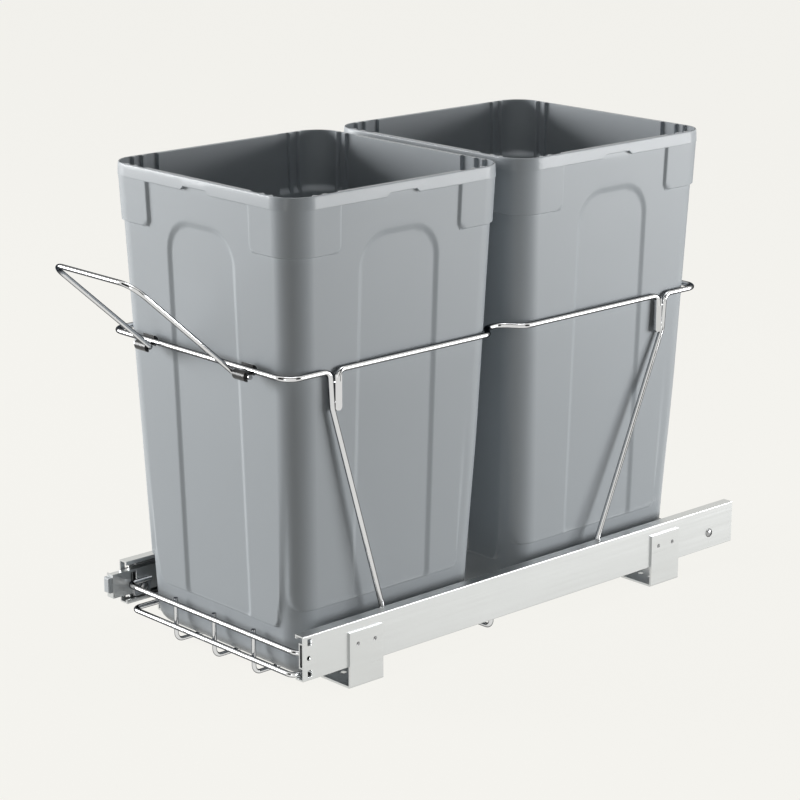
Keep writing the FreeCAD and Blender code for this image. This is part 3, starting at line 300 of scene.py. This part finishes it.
def chrome_with_painted_dark_edges(name, colour, roughness):
    """Bright chrome plating whose colour is painted darker at grazing angles, a painted dark reflection that
    gives thin wires dark edges.
    """
    material, tree, shader, place = new_material(name)
    tint = use_group(tree, tint_group(), place, Color=(*colour, 1), Amount=0.04, Scale=20.0)
    surface = use_group(tree, grain_group(), place, Scale=60.0, Roughness=roughness, Variation=0.03)
    # Painted dark edges: the base colour falls to a fifth as the surface turns to grazing, a painted dark
    # reflection along the wires.
    edge = tree.nodes.new("ShaderNodeMapRange")
    edge.interpolation_type = "SMOOTHSTEP"
    for title, value in (("From Min", 0.28), ("From Max", 0.62), ("To Min", 1.0), ("To Max", 0.2)):
        edge.inputs[title].default_value = value
    facing = tree.nodes.new("ShaderNodeLayerWeight").outputs["Facing"]
    feed(tree, edge.inputs["Value"], facing)
    feed(tree, shader.inputs["Base Color"], scaled(tree, tint["Color"], edge.outputs["Result"]))
    feed(tree, shader.inputs["Roughness"], surface["Roughness"])
    shader.inputs["Metallic"].default_value = 1.0
    shader.inputs["Specular Tint"].default_value = (0.22, 0.23, 0.25, 1)
    return material


def toned(colour, factor):
    """A colour made darker or lighter."""
    return [tone * factor for tone in colour]


def named(*parts):
    """CAD nodes whose name holds one of the parts."""
    return [name for name in NODES if any(part in name for part in parts)]


def dress(names, material):
    """Give CAD nodes a material in each of their slots."""
    if not names:
        raise RuntimeError("no node takes the material " + material.name)
    for name in names:
        for slot in NODES[name].material_slots:
            slot.material = material


# ---------------------------------------------------------------- bins

# A face's own coordinates are travel, along it from its middle, and height above the base. Faces run
# 0 front, 1 right, 2 rear, 3 left, and each ends in the corner before the next one.
FRONT, RIGHT, REAR, LEFT = range(4)

# Places of the skin's columns in half a face, in millimetres, close together at the edges of its forms.
NOTCH_COLUMNS = [0, 5, 10, 13.5, 15.5, 17.2, 19, 22, 26]
ARCH_COLUMNS = [28.5 + 1.5 * step for step in range(8)] + [40 + 0.75 * step for step in range(12)]
PAD_COLUMNS = [50, 54, 59, 64, 67, 67.6, 68.2, 68.8, 69.4, 70.2, 70.8, 73, 77, 81]
RIB_COLUMNS = [83, 83.8, 84.2, 85, 87, 87.8, 88.2, 89.5, 91.5, 93, 94.6, 95, 96, 98, 99, 99.5]
FLAT_END = RIB_COLUMNS[-1] * MM
STEADY = 48 * MM         # columns nearer the middle keep their place, the others fit the wall's length
CORNER_STEPS = 12

# Heights of the skin's rows, in millimetres: from the base, or from the edge that they are named after.
FOOT_ROWS = (20, 25, 31, 37, 41)
LEDGE_ROWS = (-2.5, -1.6, -1.0, -0.5, 0, 0.5, 1.0, 1.7, 2.7, 4, 6, 8, 11)
WALL_ROWS = [80 + 14 * step for step in range(19)]
SHOULDER_ROWS = (-46, -38, -33, -30, -28, -26, -24, -22, -20, -18, -16.5, -15)
PAD_ROWS = (-3, -1.6, -0.6, -0.2, 0.2, 0.6, 1.2, 2, 3, 4, 5, 6)
ARCH_TOP_ROWS = (-3, -2.2, -1.4, -0.7, 0, 0.7, 1.4, 2.2, 3.5, 8, 15, 22)
POCKET_ROWS = (8, 0, -12, -24, -32)
SHELF_ROWS = (5, 3.5, 2.6, 1.6, 0.6, -0.6, -1.6, -2.6, -3.5, -5, -9)
INNER_WALL_ROWS = (350, 300, 240, 180, 120, 70, 35)
BASE_STEPS = 8
FLOOR_STEPS = 7

# The rim's section: how far below the top, and how far behind the rim's face, in millimetres.
RIM_ROWS = ((4, 0.3), (1.4, 0.5), (0.8, 0.56), (0.35, 0.75), (0.1, 1.05), (0, 1.5), (0, 1.9))
LIP_ROWS = ((0, 0.8), (0, 0.4), (0.4, 0.05))

# Raised plates of the walls. Their edges are soft steps, given by half widths.
PLATE_FRONT = 128 * MM   # a side plate's front edge, beyond the corner's start
PLATE_REAR = 93 * MM     # and its rear edge
PLATE_CORNER = 9 * MM
PLATE_FRONT_CORNER = 16 * MM
LEDGE_EDGE = 0.7 * MM
PLATE_EDGE_GAIN = 2.8 * MM   # how much softer the plates' upright edges get
PLATE_EDGE_RISE = 60 * MM    # over this height
FACE_FADE = 24 * MM          # height over which the front and rear plates' edges fade
FACE_FADE_ENDS = (98 * MM, 106 * MM)   # where that height passes over into the corner column's
ABOVE_ALL = 1.0
ARCH_FOOT = 1.2 * MM         # the arch starts this far below the ledge
ARCH_FOOT_CORNER = 7 * MM
ARCH_START = 2 * MM
ARCH_EDGE = 3.2 * MM

# Corner pads outside, and the hollows with ribs behind them.
PAD_CORNER = 7 * MM
PAD_SIDE_EDGE = 1.5 * MM
PAD_LOWER_EDGE = 0.6 * MM
HOLLOW_INSET = 1.5 * MM
HOLLOW_EDGE = 0.3 * MM
SHELF_DROP = 2.5 * MM
SHELF_EDGE = 3.5 * MM
RIBS = (86 * MM, 97 * MM)
RIB_EDGE = 0.25 * MM
RIB_TRIM = 0.2 * MM

SMALLEST_CORNER = 2.5 * MM
WELD = 0.02 * MM
SHARP_ANGLE = math.radians(38)


def smooth_step(low, high, number):
    """0 below low, 1 above high, and a soft rise between."""
    share = min(max((number - low) / (high - low), 0.0), 1.0)
    return share * share * (3 - 2 * share)


def inside_rounded(x, y, left, right, low, high, low_corner, high_corner):
    """How far a point lies inside an upright rectangle with round lower and upper corners."""
    radius = low_corner if y < (low + high) / 2 else high_corner
    across = min(x - left, right - x)
    along = min(y - low, high - y)
    if across < radius and along < radius:
        return radius - math.hypot(radius - across, radius - along)
    return min(across, along)


def outline_stations():
    """Stations once round the bin: face, distance from the face's middle, and angle in the corner."""
    columns = [column * MM for column in NOTCH_COLUMNS + ARCH_COLUMNS + PAD_COLUMNS + RIB_COLUMNS]
    stations = []
    for face in (FRONT, RIGHT, REAR, LEFT):
        stations += [(face, -column, 0.0) for column in reversed(columns[1:])]
        stations += [(face, column, 0.0) for column in columns]
        for step in range(1, CORNER_STEPS):
            stations.append((face, columns[-1], step / CORNER_STEPS * math.pi / 2))
    return stations


def plate_relief(settings, rim_base, face, travel, height):
    """How far one face stands out from the plain wall: its raised plate, with the sunk arch in it."""
    at_side = face in (RIGHT, LEFT)
    ledge = settings.ledge_side if at_side else settings.ledge_front
    left, right = (-PLATE_FRONT, PLATE_REAR) if at_side else (-settings.plate_half, settings.plate_half)
    if face == LEFT:
        left, right = -right, -left
    before = travel < 0 if face == RIGHT else travel > 0
    corner = PLATE_FRONT_CORNER if at_side and before else PLATE_CORNER
    plate = inside_rounded(travel, height, left, right, ledge, ABOVE_ALL, corner, corner)
    above = max(height - ledge, 0.0)
    soft = LEDGE_EDGE + PLATE_EDGE_GAIN * smooth_step(0, PLATE_EDGE_RISE, above)
    fade = settings.column_high
    if not at_side:
        fade = FACE_FADE + (fade - FACE_FADE) * smooth_step(*FACE_FADE_ENDS, abs(travel))
    step = settings.foot_deep * (1 - smooth_step(0, fade, above))
    relief = -step * (1 - smooth_step(-soft, soft, plate))
    if height > ledge - ARCH_START:
        arch = inside_rounded(travel, height, -settings.arch_half, settings.arch_half, ledge - ARCH_FOOT,
                              rim_base - settings.arch_top, ARCH_FOOT_CORNER, settings.arch_corner)
        sunk = settings.arch_deep * smooth_step(-ARCH_EDGE, ARCH_EDGE, arch)
        relief -= sunk * smooth_step(-LEDGE_EDGE, LEDGE_EDGE, plate)
    return relief


def outer_relief(settings, rim_base, face, across, angle, height):
    """How far the outer wall stands out: pads, raised plates, sunk arches, corner columns and foot."""
    along = across + settings.corner * angle
    relief = plate_relief(settings, rim_base, face, along, height)
    if angle:
        back = -across - settings.corner * (math.pi / 2 - angle)
        relief = max(relief, plate_relief(settings, rim_base, (face + 1) % 4, back, height))
        along = min(along, -back)
    beyond = abs(along) - settings.pad_edge
    up = height - (rim_base - settings.pad_drop)
    pad = min(beyond, up)
    if beyond < PAD_CORNER and up < PAD_CORNER:
        pad = PAD_CORNER - math.hypot(PAD_CORNER - beyond, PAD_CORNER - up)
    soft = PAD_SIDE_EDGE if beyond < up else PAD_LOWER_EDGE
    share = smooth_step(-soft, soft, pad)
    return relief * (1 - share) + settings.pad_out * share


def inner_relief(settings, rim_base, travel, height):
    """How far the inner wall stands back: the pads' hollows, their shelf and their ribs."""
    shelf = rim_base - settings.pad_drop - SHELF_DROP
    share = smooth_step(-HOLLOW_EDGE, HOLLOW_EDGE, travel - settings.pad_edge - HOLLOW_INSET)
    share *= smooth_step(-SHELF_EDGE, SHELF_EDGE, height - shelf)
    for rib in RIBS:
        share *= smooth_step(-RIB_EDGE, RIB_EDGE, abs(travel - rib) - settings.rib_half + RIB_TRIM)
    return settings.hollow * share


def undercut(radius, height):
    """How far a rounded foot is drawn in at a height."""
    rest = max(radius - height, 0.0)
    return radius - math.sqrt(max(radius * radius - rest * rest, 0.0))


def rows_at(side, base, steps):
    """Rows on one side of the skin, at steps in millimetres from a height."""
    return [(side, base + step * MM, 0.0) for step in steps]


def round_rows(side, base, radius, count):
    """Rows up a quarter round that starts level at a height, in equal turns and without its end."""
    return [(side, base + radius * (1 - math.cos(step / count * math.pi / 2)), 0.0) for step in range(count)]


def profile_rows(settings, high):
    """Rows of the skin, from the base over the rim to the floor: side, height, and setting back."""
    rim_base = high - settings.rim_high
    arch_top = rim_base - settings.arch_top
    pads = rim_base - settings.pad_drop
    rows = round_rows("out", 0.0, settings.base_round, BASE_STEPS) + rows_at("out", 0.0, FOOT_ROWS)
    rows += rows_at("out", settings.ledge_front, LEDGE_ROWS) + rows_at("out", settings.ledge_side, LEDGE_ROWS)
    rows += rows_at("out", 0.0, WALL_ROWS) + rows_at("out", arch_top, SHOULDER_ROWS)
    rows += rows_at("out", pads, PAD_ROWS) + rows_at("out", arch_top, ARCH_TOP_ROWS)
    rows += rows_at("out", rim_base, (-1,))
    rows += [("under", 0.0, 0.0), ("under", 0.0, 0.75), ("under", 0.0, 0.93)]
    rows += [("under", 0.3 * MM, 1.0), ("under", 0.8 * MM, 1.0)]
    rows += [("rim", high - down * MM, back * MM) for down, back in RIM_ROWS]
    rows += [("lip", high - down * MM, back * MM) for down, back in LIP_ROWS]
    rows += rows_at("in", rim_base, POCKET_ROWS) + rows_at("in", pads - SHELF_DROP, SHELF_ROWS)
    rows += rows_at("in", 0.0, INNER_WALL_ROWS)
    rows += reversed(round_rows("in", settings.wall, settings.base_round - settings.wall, FLOOR_STEPS))
    return rows


def skin_point(settings, rim_base, station, row):
    """Height, setting out from the straight wall, and corner radius at one point of the skin."""
    face, across, angle = station
    side, height, share = row
    corner = settings.corner
    if side == "out":
        out = outer_relief(settings, rim_base, face, across, angle, height)
        out -= undercut(settings.base_round, height)
    elif side == "under":
        ramp = (settings.notch_half + settings.notch_ramp - abs(across)) / settings.notch_ramp
        height += rim_base + (0 if angle else settings.notch_high * min(max(ramp, 0.0), 1.0))
        wall = outer_relief(settings, rim_base, face, across, angle, rim_base)
        out = wall + (settings.rim_out - wall) * share
        corner += (settings.rim_corner - settings.rim_out - corner) * share
    elif side == "rim":
        out = settings.rim_out - share
        corner = settings.rim_corner - settings.rim_out
    else:
        reach = abs(across) + settings.corner * min(angle, math.pi / 2 - angle)
        out = inner_relief(settings, rim_base, reach, height) - settings.wall + share
        out -= undercut(settings.base_round - settings.wall, height - settings.wall)
    return height, out, max(corner + out, SMALLEST_CORNER)


def outline_spot(half, corner, station):
    """Where a station lies on a rounded rectangle of these half sizes, from its middle."""
    face, across, angle = station
    long_half, deep = (half.x, half.y) if face in (FRONT, REAR) else (half.y, half.x)
    end = long_half - corner
    along = abs(across)
    if along > STEADY:
        along = STEADY + (along - STEADY) * (end - STEADY) / (FLAT_END - STEADY)
    along = math.copysign(along, across)
    if angle:
        along = end + corner * math.sin(angle)
        deep = deep - corner + corner * math.cos(angle)
    return ((along, -deep), (deep, along), (-along, deep), (-deep, -along))[face]


def add_object(name, mesh):
    """Object in the scene from a bmesh, which is freed."""
    data = bpy.data.meshes.new(name)
    mesh.to_mesh(data)
    mesh.free()
    piece = bpy.data.objects.new(name, data)
    bpy.context.scene.collection.objects.link(piece)
    return piece


def bin_skin(name, node, settings):
    """Closed skin of one bin: a grid wrapped round its outline, from the base, over the rim, to the floor."""
    low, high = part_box(node)
    middle = (low + high) / 2
    tall = high.z - low.z
    rim_base = tall - settings.rim_high
    slope = math.tan(settings.draft)
    one = Vector((1, 1))
    rim_half = Vector(((high.x - low.x) / 2, (high.y - low.y) / 2))
    base_half = rim_half - one * (settings.rim_out + rim_base * slope)
    rows = profile_rows(settings, tall)
    stations = outline_stations()
    mesh = bmesh.new()
    bmesh.ops.create_grid(mesh, x_segments=len(stations), y_segments=len(rows) - 1, size=1.0)
    for index, vert in enumerate(mesh.verts):
        row, column = divmod(index, len(stations) + 1)
        station = stations[column % len(stations)]
        height, out, corner = skin_point(settings, rim_base, station, rows[row])
        half = base_half + one * (min(height, rim_base) * slope)
        x, y = outline_spot(half + one * out, corner, station)
        vert.co = (middle.x + x, middle.y + y, low.z + height)
    bmesh.ops.remove_doubles(mesh, verts=mesh.verts[:], dist=WELD)
    ends = [edge for edge in mesh.edges if edge.is_boundary]
    bmesh.ops.holes_fill(mesh, edges=ends, sides=0)
    bmesh.ops.recalc_face_normals(mesh, faces=mesh.faces[:])
    piece = add_object(name, mesh)
    piece.data.shade_smooth()
    piece.data.set_sharp_from_angle(angle=SHARP_ANGLE)
    return piece


# ---------------------------------------------------------------- studio

AIM = (0, 0, 0.22)
LAMPS = (
    ("Left softbox", (-2.6, -1.8, 0.75), 1.6, 1.2, "left_lamp"),
    ("Right softbox", (1.55, 1.45, 0.36), 1.3, 0.7, "right_lamp"),
    ("Fill softbox", (0.75, -2.5, 0.45), 0.9, 0.8, "fill_lamp"),
    ("Top softbox", (0, 0, 2.4), 1.2, 1.2, "top_lamp"),
)
CARDS = (
    ("front_card", (-0.1, -1.9, 0.8), AIM, 1.3, 2.2),
    ("side_card", (1.9, 0.15, 0.8), AIM, 1.0, 2.2),
    ("upper_card", (1.1, -1.1, 1.9), AIM, 2.4, 0.7),
    ("rear_card", (-1.3, 1.25, 0.003), (-1.3, 1.25, 1.0), 2.4, 2.2),
)
CARD_BLACK = (0.01, 0.01, 0.012)
CAMERA_PLACE = (1.7239, -1.6158, 0.8519)
CAMERA_AIM = (0, -0.02886, 0.1981)
SENSOR = 36
FLOOR_SIZE = 14.0
FLOOR_DROP = 0.2 * MM    # keeps the floor clear of the feet's undersides
FLOOR_TONE = 0.45        # the floor that lights the object, against the one that is seen
GLOW_TONE = 1.077
GLOW_SHARE = 0.90        # the rest of the seen floor takes the object's shadow
ROOM_TINT = (0.95, 0.98, 1.0)


def shown_rays(tree):
    """1 for the rays that see the pale background: camera, glossy and transmission rays."""
    seen = tree.nodes.new("ShaderNodeLightPath").outputs
    either = compute(tree, "MAXIMUM", seen["Is Camera Ray"], seen["Is Glossy Ray"])
    return compute(tree, "MAXIMUM", either, seen["Is Transmission Ray"])


def backdrop_material(colour):
    """Pale floor that the camera and reflections see in its own colour, with the object's soft shadow."""
    material = bpy.data.materials.new("Studio floor")
    material.use_nodes = True
    tree = material.node_tree
    tree.nodes.clear()
    matt = tree.nodes.new("ShaderNodeBsdfDiffuse")
    matt.inputs["Color"].default_value = (*toned(colour, FLOOR_TONE), 1)
    glow = tree.nodes.new("ShaderNodeEmission")
    glow.inputs["Color"].default_value = (*toned(colour, GLOW_TONE), 1)
    share = compute(tree, "MULTIPLY", shown_rays(tree), GLOW_SHARE)
    out = tree.nodes.new("ShaderNodeOutputMaterial")
    feed(tree, out.inputs["Surface"], mixed(tree, share, matt.outputs[0], glow.outputs[0]))
    return material


def studio_world(colour, strength):
    """Room light, with the pale background for camera, glossy and transmission rays."""
    world = bpy.data.worlds.new("Studio")
    world.use_nodes = True
    tree = world.node_tree
    tree.nodes.clear()
    room = tree.nodes.new("ShaderNodeBackground")
    room.inputs["Color"].default_value = (*ROOM_TINT, 1)
    room.inputs["Strength"].default_value = strength
    shown = tree.nodes.new("ShaderNodeBackground")
    shown.inputs["Color"].default_value = (*colour, 1)
    out = tree.nodes.new("ShaderNodeOutputWorld")
    feed(tree, out.inputs["Surface"], mixed(tree, shown_rays(tree), room.outputs[0], shown.outputs[0]))
    return world


def aim(thing, place, target):
    """Put a lamp, card or camera in its place, facing a target."""
    thing.location = place
    thing.rotation_euler = (Vector(target) - Vector(place)).to_track_quat("-Z", "Y").to_euler()


def softbox(name, place, width, height, power):
    """Area lamp that faces the object."""
    data = bpy.data.lights.new(name, "AREA")
    data.shape = "RECTANGLE"
    data.size = width
    data.size_y = height
    data.energy = power
    lamp = bpy.data.objects.new(name, data)
    bpy.context.scene.collection.objects.link(lamp)
    aim(lamp, place, AIM)


def dark_card(name, place, target, width, height, material):
    """Dark card that only reflections see, which draws thin dark lines along bright wires."""
    mesh = bmesh.new()
    bmesh.ops.create_grid(mesh, x_segments=1, y_segments=1, size=0.5)
    bmesh.ops.scale(mesh, verts=mesh.verts[:], vec=(width, height, 1))
    card = add_object(name, mesh)
    card.data.materials.append(material)
    aim(card, place, target)
    card.visible_camera = False
    card.visible_diffuse = False
    card.visible_transmission = False
    card.visible_volume_scatter = False
    card.visible_shadow = False


# ---------------------------------------------------------------- operators

class BINUNIT_OT_bins(bpy.types.Operator):
    """Build both moulded bins in place of their plain solids"""
    bl_idname = "binunit.bins"
    bl_label = "Moulded bins"

    def execute(self, context):
        settings = context.scene.binunit_bins
        finish = context.scene.binunit_finish
        plastic = moulded_plastic("Bin plastic", finish.bin_grey, 0.46, grain=0.12, coat=0.18)
        for node in BIN_NODES:
            piece = bin_skin(node + "_moulded", node, settings)
            piece.data.materials.append(plastic)
            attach(piece, node)
            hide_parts(node)
        return {"FINISHED"}


class BINUNIT_OT_metal(bpy.types.Operator):
    """Finish the wires, slides, feet, rivets and screws"""
    bl_idname = "binunit.metal"
    bl_label = "Metal finishes"

    def execute(self, context):
        zinc = context.scene.binunit_finish.zinc
        chrome = context.scene.binunit_finish.chrome
        # The wires, rivets and balls take chrome with painted dark edges, darker at grazing angles.
        dress(WIRE_NODES, chrome_with_painted_dark_edges("Chrome wire", chrome, roughness=0.07))
        dress(named("outer_rail", "inner_member"), plated_sheet("Zinc-plated slide", zinc, roughness=0.34))
        dress(named("middle_member"), plated_sheet("Middle member", toned(zinc, 0.45), roughness=0.42))
        dress(named("foot_right", "foot_left"),
              plated_sheet("Zinc-plated foot", toned(zinc, 1.05), roughness=0.30))
        dress(named("rivets", "screws"), chrome_with_painted_dark_edges("Plated rivet", toned(chrome, 0.55), roughness=0.25))
        dress(named("cage"), plated_sheet("Cage strip", toned(zinc, 0.12), roughness=0.5))
        dress(named("balls"), chrome_with_painted_dark_edges("Steel ball", chrome, roughness=0.08))
        return {"FINISHED"}


class BINUNIT_OT_plastics(bpy.types.Operator):
    """Finish the clips, the bumper and the rubber stops"""
    bl_idname = "binunit.plastics"
    bl_label = "Clips, bumper and stops"

    def execute(self, context):
        finish = context.scene.binunit_finish
        dress(named("clip"), moulded_plastic("Clip plastic", finish.clip_black, 0.32, grain=0.15))
        dress(["front_bumper"], moulded_plastic("Bumper plastic", finish.bumper_grey, 0.5))
        dress(["rear_stops"], moulded_plastic("Stop rubber", finish.stop_black, 0.8, grain=0.6))
        return {"FINISHED"}


class BINUNIT_OT_stage(bpy.types.Operator):
    """Set up the floor, background, lamps and camera"""
    bl_idname = "binunit.stage"
    bl_label = "Studio"

    def execute(self, context):
        scene = context.scene
        studio = scene.binunit_studio
        mesh = bmesh.new()
        bmesh.ops.create_grid(mesh, x_segments=1, y_segments=1, size=FLOOR_SIZE)
        bmesh.ops.translate(mesh, verts=mesh.verts[:], vec=(0, 0, -FLOOR_DROP))
        floor = add_object("studio_floor", mesh)
        floor.data.materials.append(backdrop_material(studio.backdrop))
        scene.world = studio_world(studio.backdrop, studio.sky)
        for name, place, width, height, power in LAMPS:
            softbox(name, place, width, height, getattr(studio, power))
        black, _, shader, _ = new_material("Dark card")
        shader.inputs["Base Color"].default_value = (*CARD_BLACK, 1)
        shader.inputs["Roughness"].default_value = 1.0
        for name, place, target, width, height in CARDS:
            dark_card(name, place, target, width, height, black)
        lens = bpy.data.cameras.new("Camera")
        lens.lens = studio.lens
        lens.sensor_width = SENSOR
        camera = bpy.data.objects.new("Camera", lens)
        scene.collection.objects.link(camera)
        aim(camera, CAMERA_PLACE, CAMERA_AIM)
        scene.camera = camera
        scene.view_settings.view_transform = "Standard"
        return {"FINISHED"}


class BINUNIT_PT_panel(bpy.types.Panel):
    """Lists the unit's operators"""
    bl_idname = "BINUNIT_PT_panel"
    bl_label = "Bin unit"
    bl_space_type = "VIEW_3D"
    bl_region_type = "UI"
    bl_category = "Bin unit"

    def draw(self, context):
        for operator in OPERATORS:
            self.layout.operator(operator.bl_idname)


SETTINGS = {"binunit_bins": BinSettings, "binunit_finish": FinishSettings, "binunit_studio": StudioSettings}
OPERATORS = (BINUNIT_OT_bins, BINUNIT_OT_metal, BINUNIT_OT_plastics, BINUNIT_OT_stage)


def register():
    """Add the classes and the scene's settings."""
    for name, group in SETTINGS.items():
        bpy.utils.register_class(group)
        setattr(bpy.types.Scene, name, bpy.props.PointerProperty(type=group))
    for kind in (*OPERATORS, BINUNIT_PT_panel):
        bpy.utils.register_class(kind)


def unregister():
    """Remove what register added."""
    for kind in (BINUNIT_PT_panel, *reversed(OPERATORS)):
        bpy.utils.unregister_class(kind)
    for name, group in reversed(SETTINGS.items()):
        delattr(bpy.types.Scene, name)
        bpy.utils.unregister_class(group)


def main():
    """Build everything."""
    register()
    bpy.ops.binunit.bins()
    bpy.ops.binunit.metal()
    bpy.ops.binunit.plastics()
    bpy.ops.binunit.stage()


if __name__ == "__main__":
    main()
